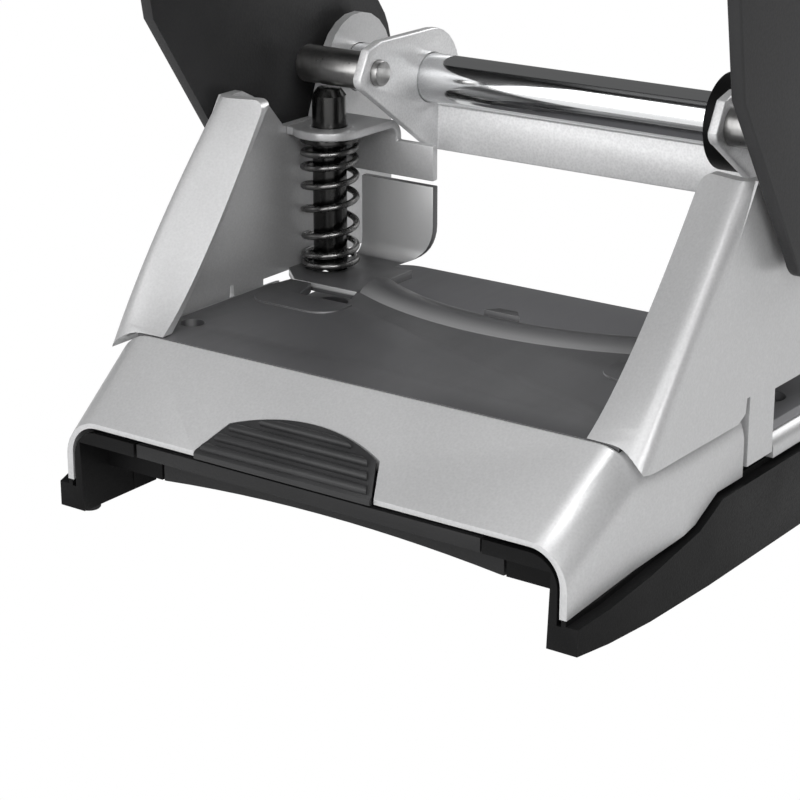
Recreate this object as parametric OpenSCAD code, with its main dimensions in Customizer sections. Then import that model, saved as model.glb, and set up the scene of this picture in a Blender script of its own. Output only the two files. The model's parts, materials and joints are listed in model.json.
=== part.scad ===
// Two-hole desk punch: folded metal base and brackets, two sprung punches, one lever, one chip drawer.
// Lengths are millimetres. Y is counted from the front edge inside each module, X from the middle.

/* [Base] */
// Depth of the base from its front legs to its rear edge
base_d = 88; // [84:1:110]
// Distance from a hole's centre out to the side of the metal shell
side_margin = 6.8; // [6.6:0.1:8]
// Amount by which each side of the shell draws in at the front edge
front_taper = 3.4; // [2:0.2:5]
// Height of the shell's front edge
front_h = 15.1; // [14.6:0.1:18]
// Depth of the sloping front
slope_d = 14; // [12:0.5:16]
// Height of the upper deck, at the top of its cover plate
deck_h = 24.5; // [24:0.1:28]
// Height of the paper slot between the bed and the cover plate
slot_h = 4.6; // [4.2:0.1:6]
// Distance from the paper stop to the hole centres
hole_margin = 11; // [10:0.5:13]
// Thickness of the folded shell sheet
sheet = 1.2; // [0.8:0.1:1.5]
// Thickness of the cover plate and the bed plate
plate_t = 1.5; // [1:0.1:2]
// Outside radius of the shell's shoulders
shoulder_r = 6; // [5:0.5:7]
// Height of the skirt's lower edge at the front corner
skirt_front_h = 5.2; // [4:0.2:7]
// Height of the skirt along the rear half of the shell
rear_skirt_d = 3.5; // [3:0.1:4.5]

/* [Chip drawer] */
// Width of the chip drawer
drawer_w = 59.6; // [50:0.2:62]
// Wall of the chip drawer
drawer_wall = 1.6; // [1.2:0.1:2.5]
// Width of the thumb notch in the shell's front edge
notch_w = 31.5; // [26:0.5:36]
// Depth of the thumb notch at its arched end
notch_d = 7.6; // [6.6:0.2:9]
// Offset of the thumb notch from the middle
notch_x = -3; // [-6:1:6]
// Number of ridges on the thumb pull
pull_ridges = 4; // [3:1:5]

/* [Brackets] */
// Thickness of the bracket sheet
bracket_t = 1.5; // [1.2:0.1:1.8]
// Width of the bracket's folded front flange
flange_w = 10; // [8:0.5:12]
// Outside radius of the fold between flange and wall
fold_r = 3.5; // [2.5:0.5:5]
// Height of the flange's top edge
flange_top_h = 55.5; // [53:0.5:57]
// Width of the tab that locks the bracket into the shell
tab_w = 7.4; // [6:0.2:9]

/* [Punches] */
// Distance between the two hole centres
hole_pitch = 80; // [78:0.5:82]
// Diameter of a punch pin
punch_dia = 5.5; // [5:0.1:6]
// Downward travel of the punches
travel = 6.24; // [6.1:0.02:6.4]
// Distance between the lower and upper guide plates
guide_gap = 22.2; // [20:0.2:24]
// Thickness of the guide sheet
guide_t = 1.4; // [1.1:0.1:1.6]
// Outside diameter of a return spring
spring_dia = 9.6; // [9:0.1:10]
// Diameter of the spring wire
wire_dia = 1; // [0.7:0.1:1.1]
// Turns of a return spring
spring_turns = 7; // [5:1:8]

/* [Lever] */
// Distance from the punch axes back to the lever's axle
lever_reach = 15; // [14:0.5:17]
// Diameter of the lever's axle
axle_dia = 8; // [7:0.2:9]
// Diameter of a press pin over a punch head
press_dia = 6; // [5:0.2:7]
// Distance from a punch's axis in to the outer face of the yoke's ear
ear_inset = 7.8; // [7:0.1:9]
// Thickness of the yoke's sheet
yoke_t = 1.6; // [1.2:0.1:2]
// Thickness of a lever arm
arm_t = 2; // [1.5:0.1:3]
// Gap between a bracket wall and its lever arm
arm_gap = 1.8; // [1.2:0.1:2.5]
// Thickness of the handle cover
cover_t = 2.4; // [1.8:0.1:3]
// Length of the lever from its axle to the middle of its rounded tip
lever_len = 81; // [70:1:95]
// Radius of the lever's rounded tip
tip_r = 11; // [9:0.5:13]

/* [Hidden] */
$fn = 64;
fit = 0.06;
gap = 0.3;
shell_w = hole_pitch + 2 * side_margin;
half = shell_w / 2;
front_half = half - front_taper;
taper_d = 24;
bed_h = deck_h - plate_t - slot_h;
ledge_h = deck_h - plate_t;
bed_deck_h = bed_h - plate_t;
skirt_rear_h = bed_deck_h - rear_skirt_d;
skirt_bend_y = 33;
foot_h = 1.5;
frame_low = 0.8;
floor_t = 1.6;

punch_y = 59.8;
punch_x = hole_pitch / 2;
punch_r = punch_dia / 2;
stop_y = punch_y - hole_margin;
seat_top = deck_h - 0.1;
seat_low = seat_top - guide_t;
guide_low = seat_top + guide_gap;
guide_top = guide_low + guide_t;
wall_in = half - bracket_t;
shell_rear = base_d - 2;
tab_gap = 0.5;
slit_front = 1.2;
tab_y = stop_y - tab_w;
guide_back = 10.2;
guide_reach = 13.2;
seat_reach = 12;
slit_rise = 13.2;
slit_w = 0.9;
wing_drop = 2.2;
flange_back_y = punch_y + guide_back;
guide_in = punch_x - guide_reach;
seat_in = punch_x - seat_reach;
slit_low = seat_top + slit_rise;
slit_top = slit_low + slit_w;
seat_front_y = stop_y + 2;
nose_r = 6;
fold_in = 4;

ear_x = punch_x - ear_inset;
press_swing = asin(travel / 2 / lever_reach);
press_angle = 2 * press_swing;
axle_y = punch_y + lever_reach + 0.2;
head_top = guide_top + 6.2;
press_r = press_dia / 2;
axle_h = head_top + gap + press_r - travel / 2;
press_y = axle_y - lever_reach * cos(press_swing);
press_h = axle_h + travel / 2;
arm_in = half + arm_gap;
arm_out = arm_in + arm_t;
cap_t = 0.9;
cap_low = guide_low - 0.2 - cap_t;

drawer_half = drawer_w / 2;
drawer_top = front_h - sheet - 0.3;
drawer_low = frame_low + floor_t + gap;
drawer_rear = shell_rear - 8;
belly_y = 30;
drawer_gap = 0.4;
rear_shoulder_r = 2.5;
liner_top = bed_deck_h - rear_shoulder_r - 0.1;
chute_d = 14;
chute_y = punch_y - chute_d / 2;
chute_low = liner_top - 5.3;
notch_slant = 2.6;
bush_h = 2.4;
bush_r = 5;

cover_half = half - shoulder_r + 1;
cover_hole = [cover_half - 3.5, 23.1];
seat_gap = 0.6;
notch_in = seat_in - 0.4;
notch_out = punch_x - 3;
notch_low = ledge_h - sheet - 0.8;
notch_skew = 2.4;
notch_y = stop_y - 4.2;
rear_y = stop_y + 1.4;
rim_r = 52;
rim_w = 7;
rim_rise = 1.3;
rim_rear = stop_y + 2.2;
rim_end = asin((seat_in - seat_gap) / rim_r);
rail_lead = 0.9;
rail_drop = 0.8;
rail_half = half + rail_lead;
leg_out = front_half + 1.7;
rail_in = half - sheet - 3;
rear_cut = 2;
liner_t = 1.6;
liner_x = half - sheet - 0.2;
leg_in = front_half - 3;
leg_tuck = front_half - sheet - 0.3;
leg_r = 4.4;
recess = 6;
panel_t = 3;
leg_d = 16;
panel_low = 6.2;
lip_h = 2;
screw_r = 1.5;
screw_head_r = 2.8;
screw_head_t = 1.8;
screw_sink = 0.4;
screw_x = half - 10;
screw_y = [34, shell_rear - 8];
screw_spots = [for (s = [-1, 1], y = screw_y) [s * screw_x, y]];
foot_r = 1.7;
front_foot = [front_half - 1.2, 3];
rear_foot = [(rail_in + rail_half) / 2, shell_rear - 4];
foot_spots = [for (s = [-1, 1], f = [front_foot, rear_foot]) [s * f[0], f[1]]];

flange_low_y = 12.6;
flange_low_h = 22.4;
flange_top_y = 38.6;
wall_low = flange_low_h - 0.7;
wall_rear_y = axle_y + 9;
axle_end = arm_out + 2.4;
clip_t = 0.8;
sleeve_len = 7.4;
sleeve_wall = 3.4;
sleeve_x = ear_x - yoke_t - sleeve_len;
sleeve_r = axle_dia / 2 + sleeve_wall;

fold_line = [[flange_low_y, flange_low_h], [flange_low_y + 8.2, flange_low_h + 14.4],
    [flange_top_y, flange_top_h]];
edge_line = [[flange_low_y + 1, flange_low_h + 1.6], [flange_low_y + 11.4, flange_low_h + 8.2],
    [flange_top_y + 2.6, flange_top_h]];
strip_d = 9;
fold_steps = 8;
flange_rows = 20;
row_n = fold_steps + 3;

wire_r = wire_dia / 2;
coil_r = spring_dia / 2 - wire_r;
coil_low = seat_top + wire_r + 0.05;
coil_top = cap_low - wire_r - 0.05;
low_closing = 0.55;
top_closing = 0.35;
rings_a_turn = 8;
ring_sides = 6;
ring_count = spring_turns * rings_a_turn;

ear_r = 8;
web_low = guide_low - 4.6;
lever_lean = 58;
lever_heel_r = 13.6;
tip = [axle_y - 2 - lever_len * cos(lever_lean), axle_h + lever_len * sin(lever_lean) - 4];
back_slope = 38.3;
roof_way = [sin(back_slope), cos(back_slope)];
roof_len = 52;
pad_t = 1.4;
pad_inset = 8;
pad_len = 40;

function arc(c, r, a0, a1, n = 10) =
    [for (i = [0:n]) let (a = a0 + (a1 - a0) * i / n) [c[0] + r * cos(a), c[1] + r * sin(a)]];

module placed() translate([0, -base_d / 2, 0]) children();

// A side view, Y across and Z up, given a thickness in X
module along_x(x0, x1) translate([x0, 0, 0]) rotate([90, 0, 90]) linear_extrude(x1 - x0) children();

// A front view, X across and Z up, given a depth in Y
module along_y(y0, y1) translate([0, y1, 0]) rotate([90, 0, 0]) linear_extrude(y1 - y0) children();

module side(s) mirror([s < 0 ? 1 : 0, 0, 0]) children();

module both() for (s = [-1, 1]) side(s) children();

// Section of the shell: flat top, round shoulders, straight skirts
module shell_section(hw, top, r)
    polygon(concat([[-hw, 0], [hw, 0]], arc([hw - r, top - r], r, 0, 90),
        arc([r - hw, top - r], r, 90, 180)));

module slice(y, hw, top, r) along_y(y - 0.005, y + 0.005) shell_section(hw, top, r);

module shell_body(inset, top_drop, y0, y1, rise_y) {
    r = shoulder_r - inset;
    hull() {
        slice(y0, front_half - inset, front_h - inset, r);
        slice(rise_y, half - front_taper / 2 - inset, deck_h - top_drop, r);
    }
    hull() {
        slice(rise_y, half - front_taper / 2 - inset, deck_h - top_drop, r);
        slice(taper_d, half - inset, deck_h - top_drop, r);
    }
    along_y(taper_d, y1) shell_section(half - inset, deck_h - top_drop, r);
}

// Outline of the thumb notch in plan, drawn in by a clearance: slanted sides and a low arch
module notch_outline(inset) {
    hw = notch_w / 2 - inset;
    top_hw = hw - notch_slant;
    arch_h = 2.6;
    r = (top_hw * top_hw + arch_h * arch_h) / (2 * arch_h);
    a = acos(top_hw / r);
    translate([notch_x, 0]) polygon(concat([[-hw, -2], [hw, -2], [hw, 0]],
        arc([0, notch_d - inset - r], r, a, 180 - a, 20), [[-hw, 0]]));
}

// Everything below the skirt's lower edge, in side view
module skirt_edge(drop = 0)
    translate([0, -drop]) polygon([[-1, -1], [-1, skirt_front_h], [skirt_bend_y - 6, skirt_front_h + 5.4],
        [skirt_bend_y, skirt_rear_h], [base_d + 1, skirt_rear_h], [base_d + 1, -1]]);

module base_shell() color([0.74, 0.75, 0.76]) placed() {
    inner_drop = plate_t + sheet;
    difference() {
        union() {
            shell_body(0, 0, 0, stop_y, slope_d);
            along_y(stop_y - 1, shell_rear) shell_section(half, bed_deck_h, rear_shoulder_r);
        }
        shell_body(sheet, inner_drop, -1, stop_y - sheet, slope_d + inner_drop);
        along_y(stop_y - sheet - 1, shell_rear - sheet)
            shell_section(half - sheet, bed_deck_h - sheet, rear_shoulder_r - sheet);
        along_x(-half - 1, half + 1) skirt_edge();
        translate([-cover_half - 0.2, slope_d + 0.3, ledge_h]) cube([2 * cover_half + 0.4, base_d, 10]);
        translate([0, 0, front_h / 2]) linear_extrude(deck_h) notch_outline(0);
        both() translate([wall_in - tab_gap, tab_y - slit_front, skirt_rear_h - 2])
            cube([bracket_t + 5, tab_w + slit_front + tab_gap, deck_h]);
        both() translate([0, 0, notch_low]) linear_extrude(deck_h) seat_notch();
        both() translate([punch_x, punch_y, 0]) cylinder(h = deck_h, r = bush_r + fit);
        for (p = screw_spots) translate([p[0], p[1], 0]) cylinder(h = deck_h, r = screw_r + fit);
    }
}

// Plan of one side rail: it flares out from the front leg
module rail_plan(x_in, inset = 0)
    polygon([[x_in, 0], [leg_out - inset, 0], [leg_out + 1.2 - inset, 6], [rail_half - 0.5 - inset, 15],
        [rail_half - inset, 30], [rail_half - inset, base_d - rear_cut],
        [rail_half - rear_cut - inset, base_d], [x_in, base_d]]);

// Front leg: it stands clear of the skirt below and lies inside it above
module leg_section()
    polygon(concat([[leg_in, frame_low], [leg_out, frame_low], [leg_out, skirt_front_h - rail_drop],
        [leg_tuck, skirt_front_h - rail_drop]], leg_round(0, 40)));

// Lip that follows the shell's front edge from the drawer to a leg
module lip_section()
    polygon(concat([[drawer_half + drawer_gap, drawer_top - lip_h], [leg_in + 0.5, drawer_top - lip_h]],
        leg_round(35, 90), [[drawer_half + drawer_gap, drawer_top]]));

function leg_round(a0, a1) = arc([leg_tuck - leg_r, drawer_top - leg_r], leg_r, a0, a1, 6);

// Recessed panel between the drawer and a leg
module web_section() {
    x0 = drawer_half + drawer_gap;
    polygon([[x0, panel_low], [leg_in + 0.5, panel_low], [leg_in + 0.5, drawer_top], [x0, drawer_top]]);
}

module base_frame() color([0.08, 0.08, 0.085]) placed() {
    liner_y = 11;
    liner_front = liner_x - front_taper;
    floor_y = belly_y + 3;
    rear_wall_t = 3;
    boss_r = 4;
    chute_t = 1.6;
    chute_x = liner_x - liner_t / 2;
    chute_end = drawer_half + drawer_gap;
    wall_rear = shell_rear - sheet - 0.2;
    difference() {
        union() {
            both() {
                intersection() {
                    translate([0, 0, frame_low]) linear_extrude(deck_h) rail_plan(rail_in);
                    along_x(0, half + 5) skirt_edge(rail_drop);
                }
                intersection() {
                    translate([0, 0, frame_low]) linear_extrude(deck_h) rail_plan(rail_in, rail_lead + 0.9);
                    along_x(0, half + 5) skirt_edge();
                }
                translate([0, 0, frame_low]) linear_extrude(liner_top - frame_low)
                    polygon([[liner_front - liner_t, liner_y], [liner_front + 0.4, liner_y],
                        [liner_x, taper_d + 4], [liner_x, wall_rear],
                        [liner_x - liner_t, wall_rear], [liner_x - liner_t, taper_d + 4]]);
                along_y(0, leg_d) leg_section();
                along_y(recess, recess + panel_t) web_section();
                along_y(0, recess + 1) lip_section();
                translate([drawer_half - 4, floor_y, frame_low])
                    cube([rail_in - drawer_half + 5, wall_rear - floor_y, floor_t]);
                along_y(chute_y, chute_y + chute_d) polygon([[chute_x, liner_top], [chute_end, chute_low],
                    [chute_end, chute_low - chute_t], [chute_x, liner_top - 1.5 * chute_t]]);
            }
            translate([-rail_in - 0.5, wall_rear - rear_wall_t, frame_low])
                cube([2 * rail_in + 1, rear_wall_t, liner_top - frame_low]);
            for (p = screw_spots) translate([p[0], p[1], frame_low])
                cylinder(h = boss_top(p[1]) - frame_low, r = boss_r);
        }
        for (p = screw_spots) translate([p[0], p[1], -1]) {
            cylinder(h = deck_h, r = screw_r + fit);
            cylinder(h = 1 + frame_low + screw_sink + screw_head_t, r = screw_head_r + 0.2);
        }
        for (p = foot_spots) translate([p[0], p[1], -1]) cylinder(h = 1 + foot_h, r = foot_r + 0.05);
    }
}

function boss_top(y) = (y < stop_y ? ledge_h : bed_deck_h) - sheet;

module rubber_feet() color([0.05, 0.05, 0.05]) placed()
    for (p = foot_spots) translate([p[0], p[1], 0]) cylinder(h = foot_h, r = foot_r);

module base_screws() color([0.6, 0.6, 0.62]) placed() {
    head_low = frame_low + screw_sink;
    for (p = screw_spots) translate([p[0], p[1], head_low]) difference() {
        union() {
            cylinder(h = screw_head_t, r = screw_head_r);
            cylinder(h = boss_top(p[1]) + sheet - 0.1 - head_low, r = screw_r);
        }
        translate([0, 0, -1]) cylinder(h = 2.2, r = 1.2, $fn = 6);
    }
}

// Slanted notch in the table before each seat
module seat_notch()
    polygon([[notch_out, rear_y + 1], [notch_out - notch_skew, notch_y], [notch_in - notch_skew, notch_y],
        [notch_in, rear_y], [notch_in, rear_y + 1]]);

// Plan of the cover plate: square front, stepped beside each seat, arched between the seats
module cover_outline() {
    step_y = stop_y - 2.4;
    right = [[cover_half, slope_d + 0.6], [cover_half, step_y], [notch_out + 4.4, step_y],
        [notch_out + 3.8, rear_y], [seat_in - seat_gap, rear_y]];
    left = [for (i = [len(right) - 1:-1:0]) [-right[i][0], right[i][1]]];
    difference() {
        polygon(concat(right, arc([0, rim_rear + rim_r], rim_r, 270 + rim_end, 270 - rim_end, 24), left));
        for (m = [0, 1]) mirror([m, 0]) seat_notch();
    }
}

// Low pad pressed up in front of each notch
module seat_pad() {
    r = 4;
    x0 = notch_in - notch_skew - 1.4;
    x1 = notch_out + 3;
    y0 = notch_y - 7.2;
    y1 = notch_y - 0.6;
    polygon(concat(arc([x0 + r, y0 + r], r, 180, 270, 6), arc([x1 - r, y0 + r], r, 270, 360, 6),
        [[x1, y1], [x0, y1]]));
}

// Broad rim along the arched rear edge of the cover plate
module cover_rim() {
    lip = 0.4;
    across = rim_w + lip;
    dome_r = (across * across / 4 + rim_rise * rim_rise) / (2 * rim_rise);
    dome_a = asin(across / 2 / dome_r);
    intersection() {
        translate([0, rim_rear + rim_r, deck_h]) rotate([0, 0, 270 - rim_end - 5])
            rotate_extrude(angle = 2 * rim_end + 10, $fn = 160) translate([rim_r, 0])
                polygon(concat([[-lip, -plate_t / 2], [rim_w, -plate_t / 2]],
                    arc([across / 2 - lip, rim_rise - dome_r], dome_r, 90 - dome_a, 90 + dome_a, 10)));
        translate([seat_gap - seat_in, 0, ledge_h]) cube([2 * (seat_in - seat_gap), base_d, 10]);
    }
}

module cover_plate() color([0.27, 0.27, 0.28]) placed() {
    pad_h = 0.25;
    mark_w = 6.4;
    mark_d = 2;
    difference() {
        union() {
            translate([0, 0, ledge_h]) linear_extrude(plate_t) cover_outline();
            both() translate([0, 0, deck_h - plate_t / 2]) linear_extrude(plate_t / 2 + pad_h) seat_pad();
            cover_rim();
            translate([0, rim_rear - 1, ledge_h]) linear_extrude(plate_t + rim_rise + 0.4)
                polygon([[-mark_w / 2, 0], [mark_w / 2, 0], [mark_w / 4, mark_d], [-mark_w / 4, mark_d]]);
        }
        both() translate([cover_hole[0], cover_hole[1], ledge_h - 1]) cylinder(h = plate_t + 2, r = 1.9);
    }
}

module bed_plate() color([0.3, 0.3, 0.31]) placed() {
    corner = 6;
    y0 = stop_y + 0.5;
    y1 = shell_rear - 0.5;
    x1 = half - 1;
    difference() {
        translate([0, 0, bed_deck_h]) linear_extrude(plate_t)
            polygon(concat([[-x1, y0], [x1, y0]], arc([x1 - corner, y1 - corner], corner, 0, 90),
                arc([corner - x1, y1 - corner], corner, 90, 180)));
        both() translate([punch_x, punch_y, bed_deck_h - 1]) cylinder(h = plate_t + 2, r = punch_r + fit);
    }
}

module die_bushes() color([0.62, 0.6, 0.56]) placed()
    both() translate([punch_x, punch_y, bed_deck_h - bush_h]) difference() {
        cylinder(h = bush_h, r = bush_r);
        translate([0, 0, -1]) cylinder(h = 6, r = punch_r + 0.4);
    }

module chip_drawer() color([0.09, 0.09, 0.095]) placed() {
    lip_y = 0.2;
    wall = drawer_wall;
    arch_rise = 1.5;
    arch_r = (drawer_half * drawer_half + arch_rise * arch_rise) / (2 * arch_rise);
    arch_lean = atan((panel_low + arch_rise - drawer_low) / (belly_y - recess));
    difference() {
        along_x(-drawer_half, drawer_half) polygon([[lip_y, drawer_top - lip_h], [lip_y, drawer_top],
            [drawer_rear, drawer_top], [drawer_rear, drawer_low], [belly_y, drawer_low], [recess, panel_low],
            [recess, drawer_top - lip_h]]);
        along_x(wall - drawer_half, drawer_half - wall) polygon([
            [recess + wall, panel_low + arch_rise + wall], [recess + wall, drawer_top + 1],
            [drawer_rear - wall, drawer_top + 1],
            [drawer_rear - wall, drawer_low + wall], [belly_y + 0.6, drawer_low + wall]]);
        translate([-drawer_half - 1, chute_y - 1, chute_low - drawer_gap])
            cube([drawer_w + 2, chute_d + 2, drawer_top]);
        translate([0, recess, panel_low + arch_rise]) rotate([-arch_lean, 0, 0]) translate([0, -1, -arch_r])
            rotate([-90, 0, 0]) cylinder(h = belly_y - recess, r = arch_r, $fn = 200);
    }
}

// Thumb pull: it fills the notch flush with the slope, with ridges parallel to the front edge
module drawer_pull() color([0.06, 0.06, 0.065]) placed() {
    rise = (deck_h - front_h) / slope_d;
    proud = 0.3;
    pull_t = 2.4;
    lip = 0.5;
    clear = 0.35;
    ridge_r = 0.7;
    ridge_y = 0.6;
    pitch = (notch_d - ridge_y - 2 * ridge_r - clear) / (pull_ridges - 1);
    intersection() {
        along_x(-half, half) polygon([[1.2, drawer_top], [-lip, front_h - 0.9], [-lip, front_h + proud - 0.4],
            [0, front_h + proud], [notch_d, front_h + rise * notch_d + proud],
            [notch_d, front_h + rise * notch_d - pull_t], [3.4, drawer_top]]);
        linear_extrude(deck_h + 5) notch_outline(clear);
    }
    intersection() {
        for (i = [0:pull_ridges - 1]) let (y = ridge_y + i * pitch)
            translate([-half, y, front_h + proud + rise * y]) rotate([0, 90, 0])
                cylinder(h = shell_w, r = ridge_r);
        linear_extrude(deck_h + 5) notch_outline(clear + 0.9);
    }
}

// Flange of a bracket: a folded sheet that flares forward at its foot, lofted between two curved lines
function curve(p, s) = pow(1 - s, 2) * p[0] + 2 * s * (1 - s) * p[1] + s * s * p[2];
function curve_way(p, s) = 2 * (1 - s) * (p[1] - p[0]) + 2 * s * (p[2] - p[1]);
function unit(v) = v / norm(v);
function flange_frame(s) = let (e = curve(edge_line, s), c = curve(fold_line, s),
    t = unit(curve_way(fold_line, s)),
    edge = [half - flange_w + 1.2 * s, e[0], e[1]], corner = [half, c[0], c[1]])
    [edge, corner, unit(edge - corner), [0, t[1], -t[0]]];
// Row of points across the sheet at s along it: the outer face, or the inner one a sheet lower
function flange_row(s, inner) = let (f = flange_frame(s), edge = f[0], c = f[1], a = f[2], w = f[3],
    axis = unit(cross(a, w)), drop = inner ? bracket_t : 0, bend = [c + fold_r * a, c, c + fold_r * w])
    concat([edge - drop * unit(cross(a, axis))],
        [for (u = [0:1 / fold_steps:1]) curve(bend, u) + drop * unit(cross(curve_way(bend, u), axis))],
        [c + strip_d * w + drop * [-1, 0, 0]]);

module bracket_flange() {
    reach = 0.06;
    rows = [for (i = [0:flange_rows]) let (s = -reach + (1 + 2 * reach) * i / flange_rows)
        concat(flange_row(s, false), flange_row(s, true))];
    m = 2 * row_n;
    ring = concat([for (k = [0:row_n - 1]) k], [for (k = [row_n - 1:-1:0]) row_n + k]);
    skin = [for (i = [0:flange_rows - 1], k = [0:m - 1]) let (p = ring[k], q = ring[(k + 1) % m]) each [
        [i * m + p, (i + 1) * m + q, i * m + q], [i * m + p, (i + 1) * m + p, (i + 1) * m + q]]];
    low = [for (k = [0:row_n - 2]) each [[k, k + 1, k + row_n], [k + 1, k + row_n + 1, k + row_n]]];
    top = [for (f = low) [f[0] + flange_rows * m, f[2] + flange_rows * m, f[1] + flange_rows * m]];
    polyhedron(points = [for (r = rows) each r], faces = concat(skin, low, top));
}

module wall_outline() {
    slot_top = deck_h - 0.5;
    tab_low = skirt_rear_h + 1.1;
    relief_top = deck_h + 0.4;
    crown_r = 9;
    polygon(concat([[flange_low_y + 6, wall_low], [tab_y - slit_front - 2, wall_low],
        [tab_y - slit_front, wall_low + 1],
        [tab_y - slit_front + 0.3, relief_top], [tab_y, relief_top], [tab_y, tab_low],
        [stop_y, tab_low], [stop_y, slot_top], [wall_rear_y - 3, slot_top], [wall_rear_y, slot_top + 3]],
        arc([axle_y, axle_h], crown_r, 0, 170), [[axle_y - crown_r - 3, guide_top], [punch_y - 5, guide_top],
        [punch_y - 9, guide_top + 4.4], [flange_top_y + 6, flange_top_h], [flange_top_y + 2, flange_top_h]]));
}

module bracket(s) color([0.76, 0.77, 0.78]) placed() side(s) {
    corner = 1.8;
    x_in = half - flange_w + 1.2;
    difference() {
        union() {
            along_x(wall_in, half) wall_outline();
            difference() {
                bracket_flange();
                translate([0, 0, flange_top_h]) cube([2 * half, base_d, 20]);
                translate([0, 0, wall_low - 20]) cube([2 * half, base_d, 20]);
                along_y(0, base_d) difference() {
                    translate([x_in - 1, flange_top_h - corner]) square(corner + 1);
                    translate([x_in + corner, flange_top_h - corner]) circle(r = corner);
                }
            }
        }
        along_y(-5, tab_y - 0.1) shell_section(half + 0.3, deck_h + 0.15, shoulder_r + 0.15);
        translate([0, axle_y, axle_h]) rotate([0, 90, 0]) cylinder(h = half + 5, r = axle_dia / 2 + fit);
    }
}

module bracket_left() bracket(-1);
module bracket_right() bracket(1);

// Lower guide: the spring seat, folded up into a rear flange below the slit
module lower_guide(s) color([0.7, 0.71, 0.72]) placed() side(s) {
    front_y = seat_front_y;
    corner = 7;
    bend = fold_in;
    cut = 4.6;
    back_y = flange_back_y - bend;
    flange_out = punch_x + 1.2;
    difference() {
        intersection() {
            along_x(guide_in, wall_in) polygon(concat([[front_y, seat_low], [back_y, seat_low]],
                arc([back_y + guide_t, seat_low + bend], bend, -90, 0),
                [[flange_back_y + guide_t, slit_low], [flange_back_y, slit_low]],
                arc([back_y + guide_t, seat_low + bend], bend - guide_t, 0, -90), [[front_y, seat_top]]));
            union() {
                translate([0, 0, seat_low - 1]) linear_extrude(guide_t + 2)
                    polygon([[seat_in, front_y], [punch_x + 0.5, front_y], [wall_in, front_y + cut],
                        [wall_in, back_y], [seat_in, back_y]]);
                along_y(back_y - 1, flange_back_y + 5) polygon(concat([[flange_out, seat_low - 1],
                    [flange_out, slit_low + 1], [guide_in, slit_low + 1]],
                    arc([guide_in + corner, seat_low + corner + 1], corner, 180, 270)));
            }
        }
        translate([punch_x, punch_y, seat_low - 1]) cylinder(h = guide_t + 2, r = punch_r + fit);
    }
}

module lower_guide_left() lower_guide(-1);
module lower_guide_right() lower_guide(1);

// Upper guide: a round-nosed plate folded down into the flange above the slit
module upper_guide(s) color([0.66, 0.67, 0.68]) placed() side(s) {
    bend = 3;
    bend_y = flange_back_y + guide_t - bend;
    wing_top = guide_low - wing_drop;
    difference() {
        union() {
            translate([guide_in, flange_back_y, slit_top])
                cube([wall_in - guide_in, guide_t, wing_top - slit_top]);
            along_x(seat_in + 6, wall_in) polygon(concat([[flange_back_y + guide_t, slit_top]],
                arc([bend_y, guide_top - bend], bend, 0, 90),
                arc([bend_y, guide_top - bend], bend - guide_t, 90, 0), [[flange_back_y, slit_top]]));
            translate([0, 0, guide_low]) linear_extrude(guide_t) {
                intersection() {
                    translate([punch_x, punch_y]) circle(r = nose_r);
                    translate([0, punch_y - nose_r]) square([wall_in, 2 * nose_r]);
                }
                translate([punch_x - nose_r, punch_y])
                    square([wall_in - punch_x + nose_r, bend_y - punch_y]);
                translate([punch_x, punch_y - nose_r + 1.5]) square([wall_in - punch_x, nose_r]);
            }
        }
        translate([punch_x, punch_y, guide_low - 1]) cylinder(h = guide_t + 2, r = punch_r + fit);
    }
}

module upper_guide_left() upper_guide(-1);
module upper_guide_right() upper_guide(1);

// Punch pin: a ground tip with a hollow cut across it, and a domed head
module punch(s) color([0.35, 0.35, 0.36]) placed() side(s) translate([punch_x, punch_y, 0]) {
    low = seat_low + 0.1;
    dome = 1.2;
    difference() {
        union() {
            translate([0, 0, low]) cylinder(h = head_top - dome - low, r = punch_r);
            translate([0, 0, head_top - dome]) cylinder(h = dome, r1 = punch_r, r2 = punch_r - 0.9);
        }
        translate([0, 0, low - 0.6]) rotate([90, 0, 0])
            cylinder(h = 2 * punch_dia, r = punch_r - 0.5, center = true);
    }
}

module punch_left() punch(-1);
module punch_right() punch(1);

module spring_cap(s) color([0.3, 0.3, 0.31]) placed() side(s)
    translate([punch_x, punch_y, cap_low]) difference() {
        cylinder(h = cap_t, r = spring_dia / 2);
        translate([0, 0, -1]) cylinder(h = cap_t + 2, r = punch_r + 0.02);
    }

module spring_cap_left() spring_cap(-1);
module spring_cap_right() spring_cap(1);

// Return spring: one helical tube, its end turns closer together than the middle ones
function coil_share(u) = u - (u < 0.5 ? low_closing : top_closing) * sin(360 * u) / (2 * PI);
function coil_turn(i) = 90 + 360 * i / rings_a_turn;
function coil_at(i) = let (a = coil_turn(i))
    [coil_r * cos(a), coil_r * sin(a), coil_low + (coil_top - coil_low) * coil_share(i / ring_count)];
function ring_point(i, j) = let (c = coil_at(i), a = coil_turn(i), b = 360 * j / ring_sides)
    [c[0] + wire_r * cos(b) * cos(a), c[1] + wire_r * cos(b) * sin(a), c[2] + wire_r * sin(b)];
function turn_pitch(i) = norm(coil_at(i + rings_a_turn) - coil_at(i));
least_gap = min([for (i = [0:ring_count - rings_a_turn]) turn_pitch(i)]) - wire_dia;
echo(spring_least_gap = least_gap);

module spring(s) color([0.32, 0.32, 0.33]) placed() translate([s * punch_x, punch_y, 0]) {
    n = ring_sides;
    points = [for (i = [0:ring_count], j = [0:n - 1]) ring_point(i, j)];
    skin = [for (i = [0:ring_count - 1], j = [0:n - 1]) let (k = (j + 1) % n) each [
        [i * n + j, i * n + k, (i + 1) * n + k], [i * n + j, (i + 1) * n + k, (i + 1) * n + j]]];
    first = [for (j = [1:n - 2]) [0, j + 1, j]];
    last = [for (j = [1:n - 2]) [ring_count * n, ring_count * n + j, ring_count * n + j + 1]];
    polyhedron(points = points, faces = concat(skin, first, last));
}

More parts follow.
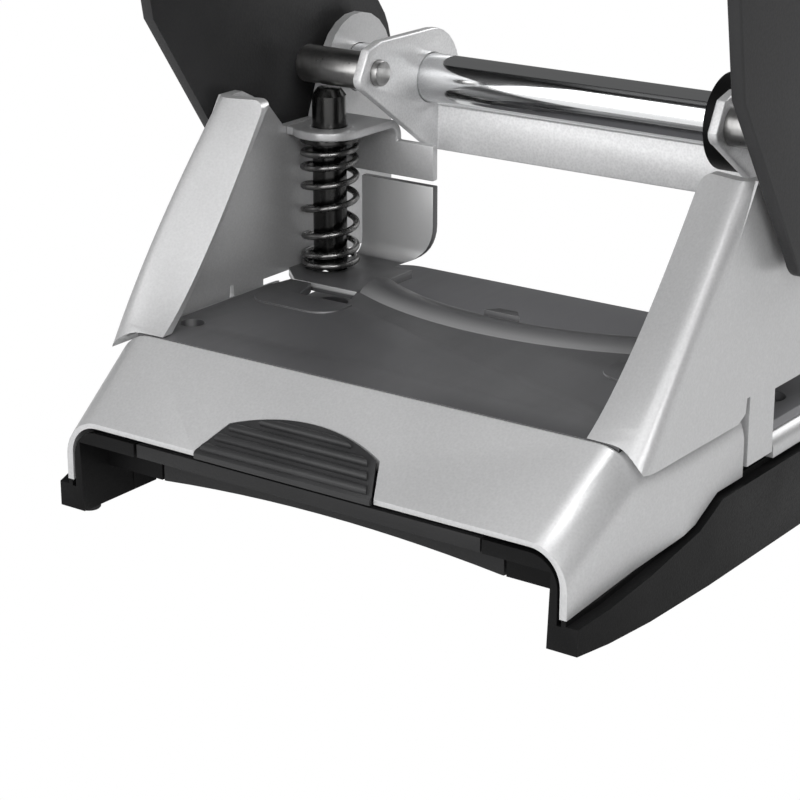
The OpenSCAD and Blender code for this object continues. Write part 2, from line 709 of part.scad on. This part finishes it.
module spring_left() spring(-1);
module spring_right() spring(1);

// Lever yoke: a cross plate folded forward into two ears
module ear_outline() {
    nose = [punch_y - 2, press_h - 0.4];
    polygon(concat(arc(nose, 2.2, 180, 250, 6), [[axle_y + 1, web_low], [axle_y + 3.4, web_low]],
        arc([axle_y, axle_h], ear_r, -40, 90),
        [[press_y + 1, axle_h + ear_r], [press_y - 2.4, press_h + 4]]));
}

module lever_yoke() color([0.72, 0.73, 0.74]) placed() {
    web_y = axle_y + 1.8;
    web_top = axle_h - axle_dia / 2 - 0.8;
    difference() {
        union() {
            both() along_x(ear_x - yoke_t, ear_x) ear_outline();
            translate([-ear_x, web_y, web_low]) cube([2 * ear_x, yoke_t, web_top - web_low]);
        }
        translate([-half, axle_y, axle_h]) rotate([0, 90, 0]) cylinder(h = 2 * half, r = axle_dia / 2 + 0.02);
        translate([-half, press_y, press_h]) rotate([0, 90, 0])
            cylinder(h = 2 * half, r = press_r - 1 + 0.02);
        translate([sleeve_x - gap, axle_y, axle_h]) rotate([0, 90, 0])
            cylinder(h = sleeve_len + gap, r = sleeve_r + gap);
    }
}

// Press pin: a stem riveted in the ear and a thick end over the punch head
module press_pin(s) color([0.7, 0.7, 0.72]) placed() side(s)
    translate([0, press_y, press_h]) rotate([0, 90, 0]) {
        translate([0, 0, ear_x - yoke_t - 1]) cylinder(h = yoke_t + 1.2, r = press_r - 1);
        translate([0, 0, ear_x]) cylinder(h = wall_in - gap - 0.2 - ear_x, r = press_r);
    }

module press_pin_left() press_pin(-1);
module press_pin_right() press_pin(1);

module axle() color([0.85, 0.86, 0.87]) placed() translate([-axle_end, axle_y, axle_h]) rotate([0, 90, 0])
    cylinder(h = 2 * axle_end, r = axle_dia / 2);

// Sleeve on the axle inside the right ear
module axle_sleeve() color([0.06, 0.06, 0.06]) placed()
    translate([sleeve_x, axle_y, axle_h]) rotate([0, 90, 0]) difference() {
        cylinder(h = sleeve_len, r = sleeve_r);
        translate([0, 0, -1]) cylinder(h = ear_x, r = axle_dia / 2 + 0.02);
    }

module axle_spacers() color([0.15, 0.15, 0.15]) placed()
    both() translate([half + 0.1, axle_y, axle_h]) rotate([0, 90, 0]) difference() {
        cylinder(h = arm_gap - 0.1, r = axle_dia / 2 + 2.5);
        translate([0, 0, -1]) cylinder(h = arm_gap + 2, r = axle_dia / 2 + 0.02);
    }

module axle_clips() color([0.25, 0.25, 0.26]) placed()
    both() translate([arm_out, axle_y, axle_h]) rotate([0, 90, 0]) difference() {
        cylinder(h = clip_t, r = axle_dia / 2 + 2.2);
        translate([0, 0, -1]) cylinder(h = clip_t + 2, r = axle_dia / 2 + 0.02);
        translate([0, -1, -1]) cube([axle_dia, 2, clip_t + 2]);
    }

// Side view of the lever: rounded lower corner, long front edge, round tip, straight back
module lever_outline() {
    corner = 4;
    low = axle_h - lever_heel_r;
    front_y = axle_y - 29.5;
    elbow = [front_y - 17.4, low + 28];
    polygon(concat(arc([front_y + corner, low + corner], corner, 205, 270, 6), [[axle_y, low]],
        arc([axle_y, axle_h], lever_heel_r, -80, 30, 12), arc(tip, tip_r, 40, 185, 14), [elbow]));
}

module lever_arm(s) color([0.12, 0.12, 0.125]) placed() side(s) difference() {
    along_x(arm_in, arm_out) lever_outline();
    translate([0, axle_y, axle_h]) rotate([0, 90, 0]) cylinder(h = 2 * half, r = axle_dia / 2 + 0.02);
}

module lever_arm_left() lever_arm(-1);
module lever_arm_right() lever_arm(1);

// Band of one thickness along the lever's back and tip
module roof_band(thickness, shift) difference() {
    translate(shift * roof_way) lever_outline();
    translate((shift - thickness) * roof_way) lever_outline();
}

// Stretch of the lever's back, measured from the tip's middle towards the heel
module back_stretch(length, drop)
    translate(tip) rotate(-back_slope) translate([-2 * tip_r, -drop]) square([2 * tip_r + length, 4 * tip_r]);

module handle_cover() color([0.1, 0.1, 0.105]) placed() along_x(-arm_in, arm_in) intersection() {
    roof_band(cover_t, 0);
    back_stretch(roof_len, tip_r / 2);
}

module grip_pad() color([0.05, 0.05, 0.05]) placed() along_x(pad_inset - arm_in, arm_in - pad_inset)
    intersection() {
        roof_band(pad_t, pad_t);
        back_stretch(pad_len, 0);
    }

base_shell();
base_frame();
cover_plate();
bed_plate();
die_bushes();
base_screws();
rubber_feet();
chip_drawer();
drawer_pull();
bracket_left();
bracket_right();
lower_guide_left();
lower_guide_right();
upper_guide_left();
upper_guide_right();
punch_left();
punch_right();
spring_left();
spring_right();
spring_cap_left();
spring_cap_right();
lever_yoke();
press_pin_left();
press_pin_right();
axle();
axle_sleeve();
axle_spacers();
axle_clips();
lever_arm_left();
lever_arm_right();
handle_cover();
grip_pad();
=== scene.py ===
import json
import math

import bmesh
import bpy
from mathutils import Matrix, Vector


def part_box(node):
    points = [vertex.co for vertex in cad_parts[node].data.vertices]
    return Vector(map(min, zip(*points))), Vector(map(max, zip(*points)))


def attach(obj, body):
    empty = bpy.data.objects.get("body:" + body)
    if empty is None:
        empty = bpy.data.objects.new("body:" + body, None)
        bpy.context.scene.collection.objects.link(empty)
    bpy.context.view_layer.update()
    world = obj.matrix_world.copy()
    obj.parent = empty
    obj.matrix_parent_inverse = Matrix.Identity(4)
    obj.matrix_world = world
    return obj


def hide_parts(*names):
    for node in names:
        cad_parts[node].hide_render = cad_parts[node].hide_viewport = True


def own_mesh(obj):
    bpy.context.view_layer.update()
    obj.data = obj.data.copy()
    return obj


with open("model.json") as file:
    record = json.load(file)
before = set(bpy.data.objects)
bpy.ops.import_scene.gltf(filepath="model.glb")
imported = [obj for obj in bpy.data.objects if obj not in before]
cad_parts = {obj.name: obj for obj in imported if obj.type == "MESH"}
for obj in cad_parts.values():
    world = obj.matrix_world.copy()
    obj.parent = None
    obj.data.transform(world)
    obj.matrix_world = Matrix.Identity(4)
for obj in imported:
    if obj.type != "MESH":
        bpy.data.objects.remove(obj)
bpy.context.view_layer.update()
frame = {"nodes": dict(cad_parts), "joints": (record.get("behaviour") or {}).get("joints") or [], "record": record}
nodes = frame["nodes"]
MM = 0.001


# Shader wiring

class Wire:
    """One output socket of a material's node tree, with arithmetic that adds Math nodes."""

    def __init__(self, paint, socket):
        self.paint = paint
        self.socket = socket

    def math(self, operation, *others):
        inputs = {i: v for i, v in enumerate((self,) + others)}
        return self.paint.node("ShaderNodeMath", {"operation": operation}, inputs)

    def __add__(self, other):
        return self.math("ADD", other)

    def __mul__(self, other):
        return self.math("MULTIPLY", other)

    def __sub__(self, other):
        return self.math("SUBTRACT", other)

    def __rsub__(self, other):
        return self.paint.node("ShaderNodeMath", {"operation": "SUBTRACT"}, {0: other, 1: self})

    __radd__ = __add__
    __rmul__ = __mul__

    def clamped(self):
        return self.paint.node("ShaderNodeClamp", {}, {0: self})


class Paint:
    """A material under construction: its node tree, its surface shader and the object's own coordinates."""

    def __init__(self, name, **uniform):
        self.material = bpy.data.materials.new(name)
        self.material.use_nodes = True
        self.tree = self.material.node_tree
        self.shader = self.tree.nodes["Principled BSDF"]
        for socket, value in uniform.items():
            self.shader.inputs[socket.replace("_", " ")].default_value = value
        self.place = self.node("ShaderNodeTexCoord", {}, {}, "Object")

    def node(self, kind, settings, inputs, output=0):
        made = self.tree.nodes.new(kind)
        for key, value in settings.items():
            setattr(made, key, value)
        for key, value in inputs.items():
            self.put(made.inputs[key], value)
        return Wire(self, made.outputs[output])

    def put(self, socket, value):
        if isinstance(value, Wire):
            self.tree.links.new(value.socket, socket)
        else:
            socket.default_value = value

    def noise(self, size_mm, detail=2.0, rough=0.5, place=None):
        scale = 1 / (size_mm * MM)
        inputs = {"Vector": place or self.place, "Scale": scale, "Detail": detail, "Roughness": rough}
        return self.node("ShaderNodeTexNoise", {}, inputs)

    def cells(self, size_mm):
        return self.node("ShaderNodeTexVoronoi", {}, {"Vector": self.place, "Scale": 1 / (size_mm * MM)})

    def stretched(self, x, y, z):
        return self.node("ShaderNodeMapping", {}, {"Vector": self.place, "Scale": (x, y, z)})

    def blend(self, share, low, high):
        return self.node("ShaderNodeMix", {"data_type": "RGBA"}, {0: share, 6: (*low, 1), 7: (*high, 1)}, 2)

    def ramp(self, value, start, end):
        return self.node("ShaderNodeMapRange", {}, {0: value, 1: start, 2: end, 3: 0.0, 4: 1.0})

    def facing(self, axis):
        """How far the surface faces along one axis, from -1 to 1."""
        normal = self.node("ShaderNodeNewGeometry", {}, {}, "Normal")
        return self.node("ShaderNodeSeparateXYZ", {}, {0: normal}, axis)

    def colour(self, value):
        self.put(self.shader.inputs["Base Color"], value)

    def rough(self, value):
        self.put(self.shader.inputs["Roughness"], value)

    def bump(self, height, depth_mm, strength=1.0):
        inputs = {"Height": height, "Distance": depth_mm * MM, "Strength": strength}
        self.put(self.shader.inputs["Normal"], self.node("ShaderNodeBump", {}, inputs))


def silver_coat(name, tone=0.56, rough=0.38, metal=0.42, sparkle=0.35):
    """Fine-grained silver coat on folded sheet, with small bright flakes."""
    p = Paint(name, Metallic=metal, IOR=1.5)
    grain = p.noise(0.34, 2)
    flake = p.cells(0.4)
    drift = p.noise(16, 3)
    light = tuple(tone * c for c in (1.12, 1.122, 1.13))
    dark = tuple(tone * c for c in (0.84, 0.842, 0.85))
    mixed = grain * 0.5 + flake * sparkle + drift * 0.25 - 0.1
    p.colour(p.blend(mixed.clamped(), dark, light))
    p.rough(rough + (drift - 0.5) * 0.1 + (grain - 0.5) * 0.06)
    p.bump(p.noise(1.4, 2), 0.006, 0.3)
    return p.material


def seat_sheet(name):
    """Guide sheet: dark grey, as on the flat seat, and bare metal on faces that point forward or back above its
    lowest 0.6 mm, such as its cut edges and upright flange.
    """
    p = Paint(name, IOR=1.5)
    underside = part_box("lower_guide_left")[0][2]
    height = p.node("ShaderNodeSeparateXYZ", {}, {0: p.place}, 2)
    upright = p.ramp(p.facing(1).math("ABSOLUTE"), 0.3, 0.85)
    above_coat = p.ramp(height, underside + 0.6 * MM, underside + 0.9 * MM)
    bare = upright * above_coat
    grain = p.noise(0.34, 2)
    p.colour(p.blend((bare + (grain - 0.5) * 0.1).clamped(), (0.085, 0.085, 0.088), (0.76, 0.762, 0.765)))
    p.put(p.shader.inputs["Metallic"], bare * 0.6)
    p.rough(0.36 + (grain - 0.5) * 0.06)
    p.bump(p.noise(1.4, 2), 0.006, 0.3)
    return p.material


def black_moulding(name, tone=0.005, rough=0.46, grain_mm=0.3, gloss=0.12):
    """Black moulded plastic with a fine eroded grain."""
    p = Paint(name, IOR=1.45, Specular_IOR_Level=gloss)
    grain = p.cells(grain_mm)
    cloud = p.noise(9, 3)
    p.colour(p.blend(cloud, (tone * 0.8, tone * 0.8, tone * 0.83), (tone * 1.5, tone * 1.5, tone * 1.55)))
    p.rough(rough + (cloud - 0.5) * 0.18 + (grain - 0.4) * 0.1)
    p.bump(grain, 0.03, 0.4)
    return p.material


def dark_plate_coat(name, tone=0.064, front_highlight=0.0):
    """Dark grey half-gloss coat, faintly rubbed by paper, with a painted highlight: the base colour turns paler on
    slopes that face forward.
    """
    p = Paint(name, IOR=1.5)
    rub = p.noise(5, 4, 0.6, p.stretched(1, 0.12, 1))
    fine = p.noise(0.4, 2)
    # painted highlight: forward-facing slopes, such as the rim's front, get a paler base colour in place of the
    # light they catch
    front = 0 - p.facing(1)
    highlight_mask = p.ramp(front, 0.15, 0.6) * p.ramp(front, 0.95, 0.75)
    rub_and_highlight = (rub * 0.6 + fine * 0.4) * 0.065 + highlight_mask * front_highlight
    p.colour(p.blend(rub_and_highlight.clamped(), (tone, tone, tone * 1.05), (0.3, 0.3, 0.303)))
    p.rough(0.36 + (rub - 0.5) * 0.2)
    p.bump(fine, 0.01, 0.25)
    return p.material


def dark_steel(name, tone=0.16, rough=0.26):
    """Oiled dark steel with a drawn grain."""
    p = Paint(name, Metallic=1.0)
    drawn = p.noise(0.5, 3, 0.6, p.stretched(1, 1, 0.15))
    film = p.noise(4, 3)
    p.colour(p.blend((drawn * 0.5 + film * 0.5), (tone * 0.7,) * 3, (tone * 1.5, tone * 1.48, tone * 1.45)))
    p.rough(rough + (film - 0.5) * 0.2 + (drawn - 0.5) * 0.12)
    p.bump(drawn, 0.006, 0.3)
    return p.material


def bright_chrome(name):
    """Polished chrome with a trace of fine scratches."""
    p = Paint(name, Metallic=1.0)
    scratch = p.noise(0.6, 3, 0.6, p.stretched(0.05, 1, 1))
    p.colour(p.blend(scratch, (0.8, 0.81, 0.82), (0.88, 0.885, 0.89)))
    p.rough(0.06 + scratch * 0.06)
    p.bump(scratch, 0.002, 0.2)
    return p.material


def soft_rubber(name):
    """Black rubber, dull, with a fine skin."""
    p = Paint(name, IOR=1.5)
    skin = p.noise(0.5, 3)
    bloom = p.noise(12, 3)
    p.colour(p.blend(bloom, (0.01, 0.01, 0.0105), (0.02, 0.02, 0.021)))
    p.rough(0.62 + (skin - 0.5) * 0.2)
    p.bump(skin, 0.03, 0.4)
    return p.material


FINISH = {
    "silver_sheet": silver_coat("silver_coat"),
    "guide_sheet": silver_coat("guide_steel", 0.6, 0.36, 0.5, 0.3),
    "black_plastic": black_moulding("black_moulding"),
    "dark_plate": dark_plate_coat("dark_plate_coat"),
    "lever_black": black_moulding("lever_grain", 0.02, 0.5, 0.45, 0.35),
    "yoke_steel": silver_coat("yoke_plating", 0.76, 0.42, 0.4, 0.7),
    "chrome_bar": bright_chrome("bright_chrome"),
    "dark_steel": dark_steel("dark_steel", 0.06, 0.24),
    "spring_steel": dark_steel("spring_steel", 0.2, 0.28),
    "hardware": dark_steel("plain_steel", 0.4, 0.32),
    "rubber": soft_rubber("soft_rubber"),
}
SEAT_SHEET = seat_sheet("seat_sheet")
NODE_FINISH = {
    # the table coat carries the painted highlight on its forward-facing slopes
    "cover_plate": dark_plate_coat("table_coat", front_highlight=0.8),
    # painted reflection: the bed plate gets a paler copy of the dark plate coat, standing in for the light its
    # flat face reflects
    "bed_plate": dark_plate_coat("bed_painted_sheen", 0.17),
    "drawer_pull": black_moulding("pull_grain", 0.024, 0.42, 0.35, 0.4),
    "chip_drawer": black_moulding("drawer_grain", 0.014, 0.46, 0.35, 0.3),
    "lower_guide_left": SEAT_SHEET,
    "lower_guide_right": SEAT_SHEET,
}
SLOT_OF = {row["node"]: row["material_slot"] for row in frame["record"]["subparts"]}


# Shading of the solids

def smooth_by_angle():
    """Geometry nodes that shade smoothly across gentle folds and leave real edges crisp."""
    group = bpy.data.node_groups.new("gentle_folds", "GeometryNodeTree")
    group.interface.new_socket("Geometry", in_out="INPUT", socket_type="NodeSocketGeometry")
    group.interface.new_socket("Geometry", in_out="OUTPUT", socket_type="NodeSocketGeometry")
    start = group.nodes.new("NodeGroupInput")
    end = group.nodes.new("NodeGroupOutput")
    weld = group.nodes.new("GeometryNodeMergeByDistance")
    weld.inputs["Distance"].default_value = 0.002 * MM
    faces = group.nodes.new("GeometryNodeSetShadeSmooth")
    faces.domain = "FACE"
    faces.inputs["Shade Smooth"].default_value = True
    crisp = group.nodes.new("GeometryNodeSetShadeSmooth")
    crisp.domain = "EDGE"
    crisp.inputs["Shade Smooth"].default_value = False
    angle = group.nodes.new("GeometryNodeInputMeshEdgeAngle")
    sharp = group.nodes.new("FunctionNodeCompare")
    sharp.operation = "GREATER_THAN"
    sharp.inputs[1].default_value = math.radians(28)
    link = group.links.new
    link(start.outputs[0], weld.inputs[0])
    link(weld.outputs[0], faces.inputs[0])
    link(faces.outputs[0], crisp.inputs[0])
    link(angle.outputs["Unsigned Angle"], sharp.inputs[0])
    link(sharp.outputs[0], crisp.inputs["Selection"])
    link(crisp.outputs[0], end.inputs[0])
    return group


GENTLE = smooth_by_angle()


def shade_gently(obj):
    modifier = obj.modifiers.new("gentle_folds", "NODES")
    modifier.node_group = GENTLE


def soften_edges(obj, width_mm):
    """Rounds the sharp edges of a solid, on flat faces joined back together."""
    weld = obj.modifiers.new("weld", "WELD")
    weld.merge_threshold = 0.002 * MM
    flat = obj.modifiers.new("flat_faces", "DECIMATE")
    flat.decimate_type = "DISSOLVE"
    flat.angle_limit = math.radians(0.5)
    round_off = obj.modifiers.new("soft_edges", "BEVEL")
    round_off.width = width_mm * MM
    round_off.segments = 3
    round_off.limit_method = "ANGLE"
    round_off.angle_limit = math.radians(40)


EDGE_MM = {"silver_sheet": 0.3, "guide_sheet": 0.3, "dark_plate": 0.35, "black_plastic": 0.4,
           "lever_black": 0.45, "yoke_steel": 0.35, "chrome_bar": 0.5, "rubber": 0.4, "hardware": 0.2,
           "dark_steel": 0.2}


def finish_node(name):
    obj = nodes[name]
    obj.data.materials.clear()
    obj.data.materials.append(NODE_FINISH.get(name) or FINISH[SLOT_OF[name]])
    soften_edges(obj, EDGE_MM[SLOT_OF[name]])
    shade_gently(obj)


for node_name in nodes:
    finish_node(node_name)


# Return springs, wound in finer steps than the solids

SPRING_TURNS = 7
LOW_CLOSING = 0.7
TOP_CLOSING = 0.35
WIRE_MM = 1.05


def coil_height(turn):
    """Share of the spring's height at a turn: the end turns lie closer together."""
    share = turn / SPRING_TURNS
    closing = LOW_CLOSING if share < 0.5 else TOP_CLOSING
    return share - closing * math.sin(2 * math.pi * share) / (2 * math.pi)


def wound_spring(side, steps=36, sides=14):
    low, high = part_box("spring_" + side)
    wire = WIRE_MM * MM / 2
    radius = (high[0] - low[0]) / 2 - wire
    middle = Vector(((low[0] + high[0]) / 2, (low[1] + high[1]) / 2, 0))
    reach = high[2] - low[2] - 2 * wire
    made = bmesh.new()
    last = SPRING_TURNS * steps
    rings = []
    for i in range(-1, last + 2):
        turn = min(max(i, 0), last) / steps
        thin = 0.55 if i in (-1, last + 1) else 1.0
        around = math.pi / 2 + 2 * math.pi * turn + (0.06 if i > last else -0.06 if i < 0 else 0)
        out = Vector((math.cos(around), math.sin(around), 0))
        core = middle + out * radius + Vector((0, 0, low[2] + wire + reach * coil_height(turn)))
        ring = []
        for k in range(sides):
            a = 2 * math.pi * k / sides
            across = out * math.cos(a) + Vector((0, 0, math.sin(a)))
            ring.append(made.verts.new(core + thin * wire * across))
        rings.append(ring)
    for one, two in zip(rings, rings[1:]):
        for k in range(sides):
            n = (k + 1) % sides
            made.faces.new((one[k], one[n], two[n], two[k]))
    made.faces.new(rings[0][::-1])
    made.faces.new(rings[-1])
    bmesh.ops.recalc_face_normals(made, faces=made.faces)
    for face in made.faces:
        face.smooth = True
    mesh = bpy.data.meshes.new("return_spring_" + side)
    made.to_mesh(mesh)
    made.free()
    spring = bpy.data.objects.new("return_spring_" + side, mesh)
    bpy.context.collection.objects.link(spring)
    mesh.materials.append(FINISH["spring_steel"])
    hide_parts("spring_" + side)
    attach(spring, "base")
    joint = next(j for j in frame["joints"] if j["name"] == side + "_punch_slide")
    travel = max(joint["range_m"])
    1 - travel / (high[2] - low[2])
    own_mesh(spring)


for spring_side in ("left", "right"):
    wound_spring(spring_side)


# Stage, light and camera

LIGHT_AIM = Vector((0, 0, 0.03))
FLOOR_SIZE = 4
FLOOR_MIRRORED = 0.3


def area_light(name, place, size, watts):
    lamp = bpy.data.lights.new(name, "AREA")
    lamp.shape = "RECTANGLE"
    lamp.size, lamp.size_y = size
    lamp.energy = watts
    obj = bpy.data.objects.new(name, lamp)
    obj.location = place
    obj.rotation_euler = (LIGHT_AIM - Vector(place)).to_track_quat("-Z", "Y").to_euler()
    bpy.context.collection.objects.link(obj)


def make_floor():
    """A pale floor that the camera sees as white and that glossy pieces mirror dimly."""
    bpy.ops.mesh.primitive_plane_add(size=FLOOR_SIZE)
    floor = bpy.context.object
    floor.name = "floor"
    p = Paint("pale_floor", Base_Color=(0.9, 0.9, 0.9, 1), Roughness=0.9)
    mirrored = p.node("ShaderNodeLightPath", {}, {}, "Is Glossy Ray") * FLOOR_MIRRORED
    seen = p.node("ShaderNodeLightPath", {}, {}, "Is Camera Ray").math("MAXIMUM", mirrored)
    white = p.node("ShaderNodeEmission", {}, {})
    surface = p.node("ShaderNodeMixShader", {}, {0: seen, 1: Wire(p, p.shader.outputs[0]), 2: white})
    p.put(p.tree.nodes["Material Output"].inputs["Surface"], surface)
    floor.data.materials.append(p.material)


def make_world():
    world = bpy.data.worlds.new("studio")
    bpy.context.scene.world = world
    world.use_nodes = True
    tree = world.node_tree
    soft = tree.nodes["Background"]
    soft.inputs["Color"].default_value = (1, 1, 1, 1)
    soft.inputs["Strength"].default_value = 0.12
    white = tree.nodes.new("ShaderNodeBackground")
    white.inputs["Color"].default_value = (1, 1, 1, 1)
    white.inputs["Strength"].default_value = 1.0
    path = tree.nodes.new("ShaderNodeLightPath")
    mix = tree.nodes.new("ShaderNodeMixShader")
    tree.links.new(path.outputs["Is Camera Ray"], mix.inputs[0])
    tree.links.new(soft.outputs[0], mix.inputs[1])
    tree.links.new(white.outputs[0], mix.inputs[2])
    tree.links.new(mix.outputs[0], tree.nodes["World Output"].inputs["Surface"])


CAMERA_AT = (190.2 * MM, -284.0 * MM, 134.3 * MM)
CAMERA_TURN = math.radians(35.8)
CAMERA_DIP = math.radians(19.4)


def make_camera():
    lens = bpy.data.cameras.new("camera")
    lens.sensor_width = 36
    lens.lens = 108
    lens.clip_start = 0.01
    camera = bpy.data.objects.new("camera", lens)
    camera.location = CAMERA_AT
    camera.rotation_euler = (math.pi / 2 - CAMERA_DIP, 0, CAMERA_TURN)
    bpy.context.collection.objects.link(camera)
    bpy.context.scene.camera = camera


make_floor()
make_world()
area_light("right_key", (0.62, -0.62, 0.42), (0.4, 0.4), 3.0)
area_light("front_key", (-0.18, -0.92, 0.42), (1.1, 0.9), 8.4)
area_light("top", (0.1, -0.2, 1.0), (0.36, 0.36), 3.4)
area_light("back_right", (0.36, 0.75, 0.55), (0.4, 0.4), 3.2)
make_camera()
bpy.context.scene.view_settings.view_transform = "Standard"
